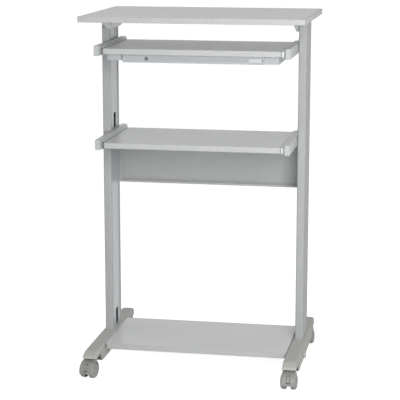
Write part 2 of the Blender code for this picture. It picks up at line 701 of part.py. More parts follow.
def hood_outline(axle, gap, neck_top):
    """Side view of a hood, (y, z), at a gap from its side: an arch over the wheels and a neck."""
    radius = HOOD_RADIUS - rounded_in(gap, HOOD_ROUNDING)
    top = neck_top - rounded_in(gap, NECK_ROUNDING)
    rear = NECK_REAR - rounded_in(gap, NECK_REAR_ROUNDING)
    edge = math.asin(-HOOD_EDGE_DROP / radius)
    neck_rear = math.acos((rear - axle[0]) / radius)
    across = -NECK_FRONT - axle[0]
    up = top - axle[1]
    tangent = math.atan2(up, across) + math.acos(radius / math.hypot(across, up))
    neck = [(rear, top), (-NECK_FRONT, top)]
    return arc(axle, radius, edge, neck_rear, 8) + neck + arc(axle, radius, tangent, math.pi - edge, 18)


def caster_hood(name, axle, finish, parent, braked):
    """Hood with a middle web that carries the axle, and a neck round the stem."""
    half = HOOD_WIDTH / 2
    neck_top = NOSE_UNDERSIDE - COLLAR_THICKNESS - 2 * SEAT
    sides = []
    for step in range(ROUNDING_STEPS + 1):
        gap = NECK_REAR_ROUNDING * (1 - math.sin(math.pi / 2 * step / ROUNDING_STEPS))
        sides.append((half - gap, hood_outline(axle, gap, neck_top)))
    sections = [(-along, outline) for along, outline in reversed(sides)] + sides
    hood = node(name, loft("hood", "x", sections), finish, parent=parent)
    bm = bmesh.new()
    well = HOOD_RADIUS - HOOD_WALL
    for sign in SIDES.values():
        span = [(well, sign * WEB_WIDTH / 2), (well, sign * (half + CUT))]
        add_turned(bm, "x", span, 36, axle)
    combine(hood, "DIFFERENCE", mesh_from("wheel_wells", bm))
    bm = bmesh.new()
    stem_end = WHEEL_RADIUS + STEM_FOOT - 2 * SEAT
    add_turned(bm, "z", [(STEM_RADIUS + SEAT, stem_end), (STEM_RADIUS + SEAT, neck_top + CUT)], 16)
    add_turned(bm, "x", [(AXLE_RADIUS + SEAT, -half), (AXLE_RADIUS + SEAT, half)], 16, axle)
    combine(hood, "DIFFERENCE", mesh_from("bores", bm))
    if braked:
        start = LEVER_START - LEVER_PLAY
        end = LEVER_START + LEVER_SWEEP + LEVER_PLAY
        depth = HOOD_RADIUS - LEVER_THICKNESS - LEVER_TRAVEL_DEPTH
        outline = lever_outline(axle, depth, HOOD_RADIUS + CUT, start, end)
        width = LEVER_WIDTH / 2 + SEAT
        combine(hood, "DIFFERENCE", prism("lever_slot", "x", outline, -width, width))


def lever_outline(axle, low, high, start, end):
    """Ring sector at the hood's front, (y, z)."""
    outer = arc(axle, high, math.pi - start, math.pi - end, 8)
    return outer + list(reversed(arc(axle, low, math.pi - start, math.pi - end, 8)))


def add_brake_lever(name, axle, finish, parent):
    """Rocker in the hood's front slot, with its origin on its pivot."""
    middle = math.pi - LEVER_START - LEVER_SWEEP / 2
    radius = HOOD_RADIUS - LEVER_THICKNESS / 2
    pivot = (axle[0] + radius * math.cos(middle), axle[1] + radius * math.sin(middle))
    centre = (axle[0] - pivot[0], axle[1] - pivot[1])
    low = HOOD_RADIUS - LEVER_THICKNESS
    high = HOOD_RADIUS + LEVER_PROUD
    outline = lever_outline(centre, low, high, LEVER_START, LEVER_START + LEVER_SWEEP)
    mesh = prism("lever", "x", outline, -LEVER_WIDTH / 2, LEVER_WIDTH / 2)
    node(name, mesh, finish, at=(0, *pivot), parent=parent)


def add_wheel(name, sign, axle, finish, parent):
    """Wheel with a domed outer side and a blind bore, its origin on the axle."""
    tread = WHEEL_RADIUS / math.cos(math.pi / WHEEL_SIDES)
    shoulder = WHEEL_OUTER - DOME_WIDTH
    bore = AXLE_RADIUS + SEAT
    bore_end = WHEEL_OUTER - AXLE_END
    profile = [
        (0, bore_end), (bore, bore_end), (bore, WHEEL_INNER), (tread - TREAD_CHAMFER, WHEEL_INNER),
        (tread, WHEEL_INNER + TREAD_CHAMFER),
    ]
    for step in range(DOME_STEPS + 1):
        turn = math.pi / 2 * step / DOME_STEPS
        profile.append((tread - DOME_FALL * (1 - math.cos(turn)), shoulder + DOME_WIDTH * math.sin(turn)))
    profile.append((0, WHEEL_OUTER))
    profile = [(radius, sign * along) for radius, along in profile]
    phase = math.pi / WHEEL_SIDES - math.pi / 2
    mesh = turned("wheel", "x", profile, WHEEL_SIDES, phase=phase)
    node(name, mesh, finish, at=(0, *axle), parent=parent)


def add_caster(name, x, y, finishes, braked, heading=0.0):
    """Twin-wheel caster on its swivel axis, with its wheels ahead of the stem."""
    swivel = bpy.data.objects.new(f"{name}_swivel", None)
    swivel.location = (x, y, 0)
    swivel.rotation_euler.z = heading
    bpy.context.scene.collection.objects.link(swivel)
    axle = (-TRAIL, WHEEL_RADIUS)
    steel, plastic, tread = finishes
    collar = NOSE_UNDERSIDE - SEAT
    profile = [
        (STEM_RADIUS, WHEEL_RADIUS + STEM_FOOT), (STEM_RADIUS, collar - COLLAR_THICKNESS),
        (COLLAR_RADIUS, collar - COLLAR_THICKNESS), (COLLAR_RADIUS, collar), (STEM_RADIUS, collar),
        (STEM_RADIUS, NOSE_UNDERSIDE + STEM_DEPTH),
    ]
    node(f"{name}_stem", turned("stem", "z", profile, 16), steel, parent=swivel)
    caster_hood(f"{name}_hood", axle, plastic, swivel, braked)
    reach = WHEEL_OUTER - AXLE_END - SEAT
    pin = rods("axle", "x", [(0, 0)], AXLE_RADIUS, -reach, reach)
    node(f"{name}_axle", pin, steel, at=(0, *axle), parent=swivel)
    for side, sign in SIDES.items():
        add_wheel(f"{name}_{side}_wheel", sign, axle, tread, swivel)
    if braked:
        add_brake_lever(f"{name}_brake_lever", axle, plastic, swivel)


def build():
    """The whole desk."""
    clear_scene()
    laminate = material("grey_laminate", (0.52, 0.53, 0.53), 0.45)
    steel = material("grey_painted_steel", (0.44, 0.46, 0.47), 0.40)
    cover = material("grey_cover", (0.42, 0.45, 0.47), 0.45)
    cast = material("warm_grey_casting", (0.36, 0.36, 0.33), 0.50)
    ivory = material("pale_plastic", (0.68, 0.70, 0.68), 0.45)
    zinc = material("bright_zinc", (0.70, 0.71, 0.72), 0.30, metallic=1.0)
    grey_plastic = material("drawer_plastic", (0.50, 0.51, 0.54), 0.40)
    dark = material("lock_nickel", (0.30, 0.30, 0.30), 0.35, metallic=1.0)
    plastic = material("warm_grey_plastic", (0.33, 0.33, 0.31), 0.45)
    tread = material("wheel_grey", (0.30, 0.30, 0.28), 0.55)

    add_board("top_board", laminate, TOP_WIDTH, TOP_DEPTH, TOP_HEIGHT, POST_Y + TOP_REAR_REACH)
    shelf_rear = SHELF_FRONT + SHELF_DEPTH
    for shelf, level in (("keyboard", KEYBOARD_LEVEL), ("middle", MIDDLE_LEVEL)):
        add_board(f"{shelf}_shelf", laminate, 2 * SHELF_HALF, SHELF_DEPTH, level, shelf_rear)
        for side in SIDES:
            add_arm(shelf, side, level, steel, ivory)
            add_slide(shelf, side, level, zinc)
    add_base_shelf(laminate)
    add_modesty_panel(steel)
    add_drawer(grey_plastic, dark)
    add_runner("left", LEFT_RUNNER_HEIGHT, grey_plastic)
    add_runner("right", RIGHT_RUNNER_HEIGHT, grey_plastic)
    for side, sign in SIDES.items():
        add_post(side, steel)
        add_cable_cover(side, cover)
        add_top_bracket(side, steel)
        add_foot(side, cast)
        add_base_fixing(side, zinc, cast)
        heading = LEFT_HEADING if side == "left" else 0.0
        finishes = (zinc, plastic, tread)
        add_caster(f"front_{side}", sign * POST_X, STEM_FRONT, finishes, True, heading)
        add_caster(f"rear_{side}", sign * POST_X, STEM_REAR, finishes, False)


build()
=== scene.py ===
"""Looks of the mobile computer desk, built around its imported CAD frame.

Every CAD node that stays gets a procedural finish. The pieces that need finer forms are modelled here,
inside the space of the nodes that they replace. Metres, in the frame's own axes: the front faces -Y.
"""
import cmath
import json
import math
from collections import namedtuple

import bmesh
import bpy
from mathutils import Matrix, Vector


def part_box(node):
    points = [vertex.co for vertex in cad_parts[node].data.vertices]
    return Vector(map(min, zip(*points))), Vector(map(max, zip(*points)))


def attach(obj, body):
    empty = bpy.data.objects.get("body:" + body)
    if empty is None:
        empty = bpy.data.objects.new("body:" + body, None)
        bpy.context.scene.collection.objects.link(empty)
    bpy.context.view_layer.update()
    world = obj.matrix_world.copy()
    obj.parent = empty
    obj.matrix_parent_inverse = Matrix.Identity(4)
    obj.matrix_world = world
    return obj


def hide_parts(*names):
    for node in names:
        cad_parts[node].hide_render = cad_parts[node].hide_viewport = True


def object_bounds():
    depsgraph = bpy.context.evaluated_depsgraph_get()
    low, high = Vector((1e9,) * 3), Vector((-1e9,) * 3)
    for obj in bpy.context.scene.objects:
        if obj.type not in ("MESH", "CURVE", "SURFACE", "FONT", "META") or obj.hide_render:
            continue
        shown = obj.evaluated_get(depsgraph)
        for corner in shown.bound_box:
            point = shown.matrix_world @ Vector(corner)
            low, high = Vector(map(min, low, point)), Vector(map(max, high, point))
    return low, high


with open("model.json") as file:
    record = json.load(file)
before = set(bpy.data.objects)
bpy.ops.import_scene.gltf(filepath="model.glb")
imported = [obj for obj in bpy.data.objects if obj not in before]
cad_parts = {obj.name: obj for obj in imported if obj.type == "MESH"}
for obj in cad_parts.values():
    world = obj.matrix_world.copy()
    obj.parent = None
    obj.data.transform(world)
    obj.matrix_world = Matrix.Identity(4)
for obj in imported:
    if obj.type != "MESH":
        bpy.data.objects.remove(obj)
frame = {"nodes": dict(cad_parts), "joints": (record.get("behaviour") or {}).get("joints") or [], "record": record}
CAD_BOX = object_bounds()
NODES = frame["nodes"]
JOINTS = {joint["name"]: joint for joint in frame["joints"]}
SIDES = {"left": -1, "right": 1}
SHELVES = ("keyboard", "middle")
BRAKED = ("front_left", "front_right")
CASTERS = (*BRAKED, "rear_left", "rear_right")
SQUARE = "front_right"  # a caster that stands square, from which sizes are read
TOUCH = 0.0002  # within which two places count as one

# Fineness of the meshes
CORNER_STEPS = 5
FINE_STEPS = 3
BAND_STEPS = 4
END_STEPS = 8  # of an arm's end, a wheel's dome and a lever's back
ROUND = 24
WHEEL_SIDES = 72
SHARP_ANGLE = math.radians(38)

# Camera, fitted to the photograph
LENS = 130.08
CAMERA_PLACE = (0.8244, -4.5186, 1.4600)
CAMERA_TURN = math.radians(10.459)
CAMERA_PITCH = math.radians(11.360)
CLIP_END = 50

# Stage: a low soft key at the front right, a weak high front light and a fill at each rear corner
LAMP_AIM = (0, 0, 0.7)
LAMPS = (  # name, place, size, watts
    ("key", (1.05, -2.4, 1.22), 1.2, 45),
    ("high", (0.3, -2.4, 2.4), 1.2, 4),
    ("left", (-2.9, 1.0, 1.0), 1.0, 13),
    ("right", (2.4, 2.2, 0.9), 1.0, 9),
)
AMBIENT = 0.27  # light of the white background on the desk
FLOOR_SIZE = 60
FLOOR_GAP = 0.0005  # from the wheels down to the floor
FLOOR_GREY = 0.8
FLOOR_ROUGHNESS = 0.9
FLOOR_GLOW = 0.82  # of the floor to the camera

# Finishes
TINT_BAND = (0.3, 0.7)  # part of the noise over which a colour wanders

# Boards: a laminated core with an edge band round it
EDGE_ROUNDING = 0.0010
UNDER_ROUNDING = 0.0024
SEAM = 0.0002
LEAST_CORNER = EDGE_ROUNDING / 4
BOARD_CORNER = 0.0020
BASE_CORNER = 0.0120

# Arms, caps and slides
ARM_ROUNDING = 0.0010
ARM_END = 0.0140  # length of the rounded rear end
ARM_GROOVES = (0.28, 0.72)  # shares of the arm's width
ARM_GROOVE_WIDTH = 0.0011
ARM_GROOVE_DEPTH = 0.0002
CAP_THICKNESS = 0.0040
CAP_CORNER = 0.0022
CAP_ROUNDING = 0.0020
SLIDE_SHEET = 0.0012
SLIDE_LIP = 0.0030
SLIDE_SETBACK = 0.0060  # from a race's or rail's front to its channel
STOP_WIDTH = 0.0070
STOP_HEIGHT = 0.0180
STOP_SETBACK = 0.0035  # from the shelf's front to a stop block
STOP_DEPTH = 0.0200
STOP_OFFSET = 0.0008  # from the rail's shelf side to the stop block
STOP_ROUNDING = 0.0016
RACE_END_WIDTH = 0.0048
RACE_END_SETBACK = 0.0080  # from the shelf's front to the plate before a race's end
RACE_END_DEPTH = 0.0015
PLATE_ROUNDING = 0.0005

# Drawer
FASCIA_DEPTH = 0.0040
FASCIA_ROUNDING = 0.0008
FASCIA_CORNER = 0.0030
TRAY_WALL = 0.0015
TRAY_BEND = 0.0030
TRAY_INNER_BEND = TRAY_BEND - TRAY_WALL
TRAY_LIP = 0.0080
TRAY_LIP_THICKNESS = 0.0020
FASCIA_DROP = 0.0008  # from the tray's lips down to the front's upper edge
FASCIA_REACH = 0.0018  # of the front over the gap to the right runner
GROOVE_START = 0.0910  # from the drawer's left end
GROOVE_STOP = 0.0480  # from the drawer's right end
GROOVE_HEIGHT = 0.0075
GROOVE_DEPTH = 0.0032
GROOVE_CORNER = 0.0012
LOCK_FLANGE = 0.0007  # of the rim past the lock's radius
LOCK_PLUG = 0.46  # of the lock's radius
LOCK_EDGE = 0.0005
LOCK_DISH = 0.0008
KEYWAY_WIDTH = 0.0008
KEYWAY_HEIGHT = 0.0028
KEYWAY_DEPTH = 0.0012
KEYWAY_CORNER = KEYWAY_WIDTH / 3
PULL_CORNER = 0.0020
PULL_SLIT_WIDTH = 0.0030
PULL_SLIT_HEIGHT = 0.0070
PULL_SLIT_END = 0.0009  # from the pull's right end to its finger slit
PULL_SLIT_FLOOR = 0.0003
PULL_SLIT_CORNER = PULL_SLIT_WIDTH / 4
PULL_SLIT_SHADE_CORNER = PULL_SLIT_WIDTH / 3
PULL_RIBS = 4
PULL_RIB_START = 0.60  # of the pull's width
PULL_RIB_SPACING = 0.0032
PULL_RIB_WIDTH = 0.0012
PULL_RIB_HEIGHT = 0.0004
PULL_RIB_CORNER = PULL_RIB_WIDTH / 4
PULL_RIB_STEPS = 2  # of a rib's rounded corner

# Cable slots
OPEN_SLOTS = 2  # counted from below: the third is a shallow knock-out
SLOT_SPACING = 0.1000  # least height between two slots
SLOT_DIGITS = 4  # to which the heights of a slot's corners are rounded
SLOT_CORNER = 0.0090
RIM_WIDTH = 0.0008
RIM_CREST = (0.25, 0.75)  # shares of the rim's width
RIM_HEIGHT = 0.0006
# Near-black sheets inside the posts, behind the open slots: painted shade of the posts' insides
DUCT_SHADE_SHEET = 0.0008
DUCT_SHADE_SEAT = 0.0003  # from a wall of the post to its shade sheet
DUCT_SHADE_BELOW = 0.0300  # from a slot down to its shade sheet's lower end
DUCT_SHADE_ABOVE = 0.0200  # from a slot up to its shade sheet's upper end
POST_SHEET = 0.0020  # of the post's walls

# Feet: the first four sizes are those of the CAD
NOSE_THICKNESS = 0.0200
NOTCH_RISE = 0.0080
NOTCH_RUN = 0.0100
BELLY_SLANT = 0.0290
# The feet's hollows are near-black sheets on the belly's slants: painted shade of their insides
HOLLOW_SHARE = 0.90  # of the slant's length
HOLLOW_SEAT = 0.0002  # from the slant out to the dark sheet's back
HOLLOW_PROUD = 0.0007  # from the slant out to the dark sheet's face
FOOT_WALL = 0.0020  # on both sides of the dark sheet

# Casters
TREAD_CHAMFER = 0.0015
TREAD_GROOVES = (0.0032, 0.0058)  # from a wheel's inner side
TREAD_GROOVE = 0.0005  # depth of a groove, and a third of its width
DOME_WIDTH = 0.0095
DOME_FALL = 0.0110  # from the tread in to the dome's flat
WHEEL_HUB = 0.0075  # radius
WHEEL_RIM = 0.0030  # thickness round the hollow inner side
WHEEL_RECESS = 0.0100  # depth of the hollow inner side
WHEEL_STEP = 0.0006  # slant of the edges of hub, rim and dimple
WHEEL_DIMPLE = 0.0035  # radius
LEVER_DEPTH = 0.0063  # from a lever's face to its back
LEVER_SLACK = 0.0008  # from a lever's side to the lever's slot
LEVER_RIBS = 5
LEVER_RIB_STEPS = 6  # from one rib to the next
LEVER_RIB_HEIGHT = 0.0005

# Fasteners
SCREW_RADIUS = 0.0036
SCREW_HEIGHT = 0.0020
SCREW_DOME = ((1, 0), (1, 0.25), (0.92, 0.60), (0.75, 0.88), (0.54, 1))  # shares of radius and height
SOCKET_SHARE = 0.45  # of the head's radius
SOCKET_FLOOR = 0.30  # of the head's height
NUT_RADIUS = 0.0065
NUT_HEIGHT = 0.0028
NUT_CHAMFER = 0.0008
BOLT_HEAD = 0.0070
BOLT_RADIUS = 0.0040
BRACKET_SHEET = 0.0030
BRACKET_SCREWS = (0.12, 0.50, 0.88)  # shares of the bracket's length
BRACKET_SCREW_INSET = 0.0120
POST_SCREWS = (0.06, 0.94)  # shares of the post's depth
POST_SCREW_RISE = 0.0140
ANGLE_SHEET = 0.0021
ANGLE_SCREWS = (0.10, 0.55, 0.90)  # shares of the angle's length
ANGLE_SCREW_INSET = 0.0100
PANEL_SHEET = 0.0015
PANEL_SCREWS = (0.20, 0.80)  # shares of the panel's height
PANEL_SCREW_RADIUS = 0.0024


Skin = namedtuple("Skin", "material tree shader place")


def link(tree, source, target):
    """Join two sockets."""
    tree.links.new(source, target)


def surface(name, metallic=0.0):
    """New material, with its node tree, its shader and the place on the piece."""
    material = bpy.data.materials.new(name)
    material.use_nodes = True
    tree = material.node_tree
    shader = tree.nodes["Principled BSDF"]
    shader.inputs["Metallic"].default_value = metallic
    place = tree.nodes.new("ShaderNodeTexCoord").outputs["Object"]
    return Skin(material, tree, shader, place)


def noise(skin, scale, detail=3.0, stretch=(1, 1, 1)):
    """Noise over the piece, stretched along its axes."""
    mapping = skin.tree.nodes.new("ShaderNodeMapping")
    mapping.inputs["Scale"].default_value = stretch
    link(skin.tree, skin.place, mapping.inputs["Vector"])
    cloud = skin.tree.nodes.new("ShaderNodeTexNoise")
    cloud.inputs["Scale"].default_value = scale
    cloud.inputs["Detail"].default_value = detail
    link(skin.tree, mapping.outputs["Vector"], cloud.inputs["Vector"])
    return cloud.outputs["Fac"]


def tint(skin, colour, spread, **pattern):
    """Base colour that wanders a little to both sides of a colour, over a noise."""
    ramp = skin.tree.nodes.new("ShaderNodeValToRGB")
    low, high = ramp.color_ramp.elements
    low.position, high.position = TINT_BAND
    low.color = (*(c * (1 - spread) for c in colour), 1)
    high.color = (*(c * (1 + spread) for c in colour), 1)
    link(skin.tree, noise(skin, **pattern), ramp.inputs["Fac"])
    link(skin.tree, ramp.outputs["Color"], skin.shader.inputs["Base Color"])


def gloss(skin, low, high, **pattern):
    """Roughness between two values, over a noise."""
    reach = skin.tree.nodes.new("ShaderNodeMapRange")
    reach.inputs["To Min"].default_value = low
    reach.inputs["To Max"].default_value = high
    link(skin.tree, noise(skin, **pattern), reach.inputs["Value"])
    link(skin.tree, reach.outputs["Result"], skin.shader.inputs["Roughness"])


def relief(skin, depth, strength, **pattern):
    """Fine unevenness of the surface, from a noise."""
    bump = skin.tree.nodes.new("ShaderNodeBump")
    bump.inputs["Strength"].default_value = strength
    bump.inputs["Distance"].default_value = depth
    link(skin.tree, noise(skin, **pattern), bump.inputs["Height"])
    link(skin.tree, bump.outputs["Normal"], skin.shader.inputs["Normal"])


def laminate():
    """Light grey melamine with a fine speckle."""
    skin = surface("laminate")
    tint(skin, (0.725, 0.737, 0.730), spread=0.030, scale=420, detail=2.0)
    gloss(skin, low=0.31, high=0.39, scale=9)
    relief(skin, depth=0.0001, strength=0.20, scale=900, detail=2.0)
    return skin.material


def edge_band():
    """Smooth grey band along the boards' edges."""
    skin = surface("edge_band")
    tint(skin, (0.545, 0.556, 0.552), spread=0.020, scale=60)
    gloss(skin, low=0.48, high=0.58, scale=25)
    relief(skin, depth=0.0001, strength=0.15, scale=260, detail=2.0, stretch=(1, 1, 4))
    return skin.material


def steel_paint():
    """Pale grey powder coat."""
    skin = surface("steel_paint")
    tint(skin, (0.450, 0.459, 0.464), spread=0.025, scale=40)
    gloss(skin, low=0.58, high=0.68, scale=15)
    relief(skin, depth=0.0002, strength=0.25, scale=650, detail=2.0)
    return skin.material


def smooth_paint(name, colour):
    """Smoother coat of the arms, and of the brackets under the top, where a lighter colour is painted light
    against the top's shade.
    """
    skin = surface(name)
    tint(skin, colour, spread=0.025, scale=45)
    gloss(skin, low=0.28, high=0.36, scale=18)
    relief(skin, depth=0.0001, strength=0.20, scale=650, detail=2.0)
    return skin.material


def cover_finish():
    """Slightly bluer plastic of the cable covers."""
    skin = surface("cover")
    tint(skin, (0.470, 0.494, 0.508), spread=0.025, scale=50, detail=4.0, stretch=(1, 1, 0.2))
    gloss(skin, low=0.27, high=0.35, scale=20)
    relief(skin, depth=0.0002, strength=0.30, scale=800, detail=2.0)
    return skin.material


def casting():
    """Warm grey textured coat of the feet."""
    skin = surface("casting")
    tint(skin, (0.530, 0.533, 0.500), spread=0.040, scale=90, detail=5.0)
    gloss(skin, low=0.80, high=0.92, scale=35)
    relief(skin, depth=0.0004, strength=0.35, scale=480, detail=4.0)
    return skin.material


def pale_plastic(name, colour):
    """Pale plastic of the arms' caps, the left end plates, the right stops and the drawer's pull."""
    skin = surface(name)
    tint(skin, colour, spread=0.020, scale=150)
    gloss(skin, low=0.40, high=0.50, scale=60)
    relief(skin, depth=0.0001, strength=0.25, scale=900, detail=2.0)
    return skin.material


def zinc():
    """Bright zinc plate, brushed along its length."""
    skin = surface("zinc", metallic=0.25)
    tint(skin, (0.640, 0.646, 0.650), spread=0.050, scale=300, detail=3.0, stretch=(1, 0.05, 1))
    gloss(skin, low=0.40, high=0.52, scale=200, detail=3.0, stretch=(1, 0.05, 1))
    relief(skin, depth=0.0001, strength=0.20, scale=700, detail=2.0, stretch=(1, 0.05, 1))
    return skin.material


def drawer_plastic():
    """Grey moulded plastic of the drawer and its runners."""
    skin = surface("drawer_plastic")
    tint(skin, (0.470, 0.485, 0.500), spread=0.025, scale=110)
    gloss(skin, low=0.38, high=0.48, scale=40)
    relief(skin, depth=0.0001, strength=0.30, scale=1000, detail=2.0)
    return skin.material


def nickel():
    """Dull nickel of the lock and the fasteners."""
    skin = surface("lock_nickel", metallic=1.0)
    tint(skin, (0.420, 0.415, 0.405), spread=0.050, scale=500)
    gloss(skin, low=0.26, high=0.38, scale=300)
    relief(skin, depth=0.0001, strength=0.15, scale=1500, detail=2.0)
    return skin.material


def caster_plastic():
    """Warm grey nylon of the hoods and brake levers."""
    skin = surface("caster_plastic")
    tint(skin, (0.325, 0.326, 0.312), spread=0.030, scale=160)
    gloss(skin, low=0.40, high=0.52, scale=70)
    relief(skin, depth=0.0002, strength=0.30, scale=900, detail=2.0)
    return skin.material


def painted_shade_plastic(name, level):
    """Dark plastic as painted shade: the left stops, the lock's rim, the finger slit, the sheets inside the posts
    and in the feet's hollows.
    """
    skin = surface(name)
    tint(skin, (level, level, level), spread=0.100, scale=300)
    gloss(skin, low=0.45, high=0.60, scale=120)
    relief(skin, depth=0.0001, strength=0.20, scale=1200, detail=2.0)
    return skin.material


def wheel_finish():
    """Slightly darker, duller nylon of the wheels."""
    skin = surface("wheel")
    tint(skin, (0.300, 0.301, 0.288), spread=0.045, scale=140, detail=4.0)
    gloss(skin, low=0.48, high=0.62, scale=60)
    relief(skin, depth=0.0002, strength=0.35, scale=700, detail=3.0)
    return skin.material


FINISHES = {
    "laminate": laminate(),
    "steel_paint": steel_paint(),
    "cover": cover_finish(),
    "casting": casting(),
    "pale_plastic": pale_plastic("pale_plastic", (0.520, 0.556, 0.552)),
    "zinc": zinc(),
    "drawer_plastic": drawer_plastic(),
    "lock_nickel": nickel(),
    "caster_plastic": caster_plastic(),
    "wheel": wheel_finish(),
}
EDGE_BAND = edge_band()
ARM_PAINT = smooth_paint("arm_paint", (0.520, 0.530, 0.530))
# Lighter smooth coat on the top brackets: painted light in the shade under the top
BRACKET_PAINTED_LIGHT = smooth_paint("bracket_painted_light", (0.620, 0.630, 0.630))
# Near-black painted shade for the lock's rim, the finger slit, the posts' insides and the feet's hollows
PAINTED_SHADE = painted_shade_plastic("painted_shade_plastic", 0.030)
# The stops are one part: the left one is dark as painted shade in its gap, the right one pale
LIT_AND_SHADED_STOPS = {
    "left": painted_shade_plastic("left_stop_painted_shade", 0.210),
    "right": pale_plastic("right_stop_plastic", (0.740, 0.760, 0.750)),
}
# The race ends' plates are one part: pale on the left, steel grey on the right as painted shade from the cap
LIT_AND_SHADED_PLATES = {"left": FINISHES["pale_plastic"], "right": FINISHES["steel_paint"]}
PULL = pale_plastic("pull_plastic", (0.600, 0.625, 0.630))


def fillet(corners, steps=CORNER_STEPS):
    """Outline through corners (a, b, radius), with an arc in place of each rounded corner."""
    outline = []
    for i, (a, b, radius) in enumerate(corners):
        here = complex(a, b)
        if radius == 0:
            outline.append((a, b))
            continue
        before = complex(*corners[i - 1][:2]) - here
        after = complex(*corners[(i + 1) % len(corners)][:2]) - here
        before /= abs(before)
        after /= abs(after)
        half = abs(cmath.phase(after / before)) / 2
        centre = here + (before + after) / abs(before + after) * radius / math.sin(half)
        first = here + before * radius / math.tan(half) - centre
        last = here + after * radius / math.tan(half) - centre
        turn = cmath.phase(last / first)
        bend = [centre + first * cmath.exp(1j * turn * k / steps) for k in range(steps + 1)]
        outline += [(point.real, point.imag) for point in bend]
    return outline


def rectangle(low_a, high_a, low_b, high_b, radius, steps=CORNER_STEPS):
    """Outline of a rectangle with rounded corners."""
    corners = ((low_a, low_b), (high_a, low_b), (high_a, high_b), (low_a, high_b))
    return fillet([(a, b, radius) for a, b in corners], steps)


def circle(centre, radius, sides, phase=0.0):
    """Points round a circle."""
    angles = [phase + 2 * math.pi * k / sides for k in range(sides)]
    return [(centre[0] + radius * math.cos(t), centre[1] + radius * math.sin(t)) for t in angles]


def hexagon(centre, radius, sides):
    """Points round a hexagon, as many as a circle's, on its flats and corners."""
    span = math.pi / 6  # half of the angle that one flat takes up
    points = []
    for k in range(sides):
        angle = 2 * math.pi * k / sides
        aside = (angle + span) % (2 * span) - span
        reach = radius * math.cos(span) / math.cos(span - abs(aside))
        points.append((centre[0] + reach * math.cos(angle), centre[1] + reach * math.sin(angle)))
    return points


def quarter(steps):
    """Sine and cosine of evenly spaced angles from 0 to a right angle."""
    angles = [math.pi / 2 * k / steps for k in range(steps + 1)]
    return [(math.sin(t), math.cos(t)) for t in angles]


def spot(axis, a, b, along):
    """Point of an outline on the plane that crosses an axis."""
    return {"x": (along, a, b), "y": (a, along, b), "z": (a, b, along)}[axis]


def add_loft(bm, axis, sections, ring=False):
    """Solid, or closed ring, through outlines of equal length, given as (place along the axis, outline)."""
    loops = [[bm.verts.new(spot(axis, a, b, along)) for a, b in outline] for along, outline in sections]
    pairs = list(zip(loops, loops[1:]))
    if ring:
        pairs.append((loops[-1], loops[0]))
    for first, second in pairs:
        for i in range(len(first)):
            bm.faces.new((first[i - 1], first[i], second[i], second[i - 1]))
    if not ring:
        bm.faces.new(loops[0])
        bm.faces.new(loops[-1])


def add_turned(bm, axis, profile, sides, centre):
    """Solid of revolution from a profile of (radius, place along the axis)."""
    add_loft(bm, axis, [(along, circle(centre, radius, sides)) for radius, along in profile])


def add_block(bm, low, high, rounding):
    """Block between two corners, with its edges rounded."""
    sections = []
    for sine, cosine in quarter(FINE_STEPS):
        inset = rounding * (1 - sine)
        outline = rectangle(
            low[0] + inset, high[0] - inset, low[2] + inset, high[2] - inset, rounding, FINE_STEPS)
        sections.append((low[1] + rounding * (1 - cosine), outline))
    mirrored = [(low[1] + high[1] - along, outline) for along, outline in reversed(sections)]
    add_loft(bm, "y", sections + mirrored)


def piece(name, bm, slot, body, replaced=(), finish=None):
    """Finish a bmesh as a piece that rides on a body and stands for CAD nodes."""
    bmesh.ops.recalc_face_normals(bm, faces=bm.faces)
    mesh = bpy.data.meshes.new(name)
    bm.to_mesh(mesh)
    bm.free()
    mesh.shade_smooth()
    mesh.set_sharp_from_angle(angle=SHARP_ANGLE)
    mesh.materials.append(finish or FINISHES[slot])
    made = bpy.data.objects.new(name, mesh)
    bpy.context.scene.collection.objects.link(made)
    even_out(made)
    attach(made, body)
    if replaced:
        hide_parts(*replaced)
    return made


def even_out(item):
    """Let the large flat faces lead the shading."""
    step = item.modifiers.new("Even shading", "WEIGHTED_NORMAL")
    step.keep_sharp = True


def dress_nodes():
    """Give every CAD node the finish of its slot, and the top brackets a lighter paint: painted light against the
    shade under the top.
    """
    for entry in frame["record"]["subparts"]:
        node = NODES[entry["node"]]
        node.data.materials.clear()
        bracket = entry["node"].endswith("top_bracket")
        node.data.materials.append(BRACKET_PAINTED_LIGHT if bracket else FINISHES[entry["material_slot"]])


def add_board(node, body, corner):
    """Board with rounded edge bands and a seam between band and face."""
    low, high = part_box(node)

    def outline(inset):
        radius = max(corner - inset, LEAST_CORNER)
        return rectangle(low.x + inset, high.x - inset, low.y + inset, high.y - inset, radius)

    def edge(rounding):
        turns = [
            (rounding * (1 - sine), outline(rounding * (1 - cosine)))
            for sine, cosine in quarter(BAND_STEPS)
        ]
        return turns + [(0, outline(rounding + SEAM)), (SEAM, outline(rounding + 2 * SEAM))]

    under = [(low.z + rise, section) for rise, section in reversed(edge(UNDER_ROUNDING))]
    over = [(high.z - fall, section) for fall, section in edge(EDGE_ROUNDING)]
    bm = bmesh.new()
    add_loft(bm, "z", under + over, ring=True)
    piece(f"{node}_band", bm, "laminate", body, finish=EDGE_BAND)
    inner = outline(EDGE_ROUNDING + 3 * SEAM)
    inset = outline(UNDER_ROUNDING + 3 * SEAM)
    bm = bmesh.new()
    add_loft(bm, "z", [(low.z, inset), (low.z + SEAM, inset), (high.z - SEAM, inner), (high.z, inner)])
    piece(f"{node}_core", bm, "laminate", body, [node])


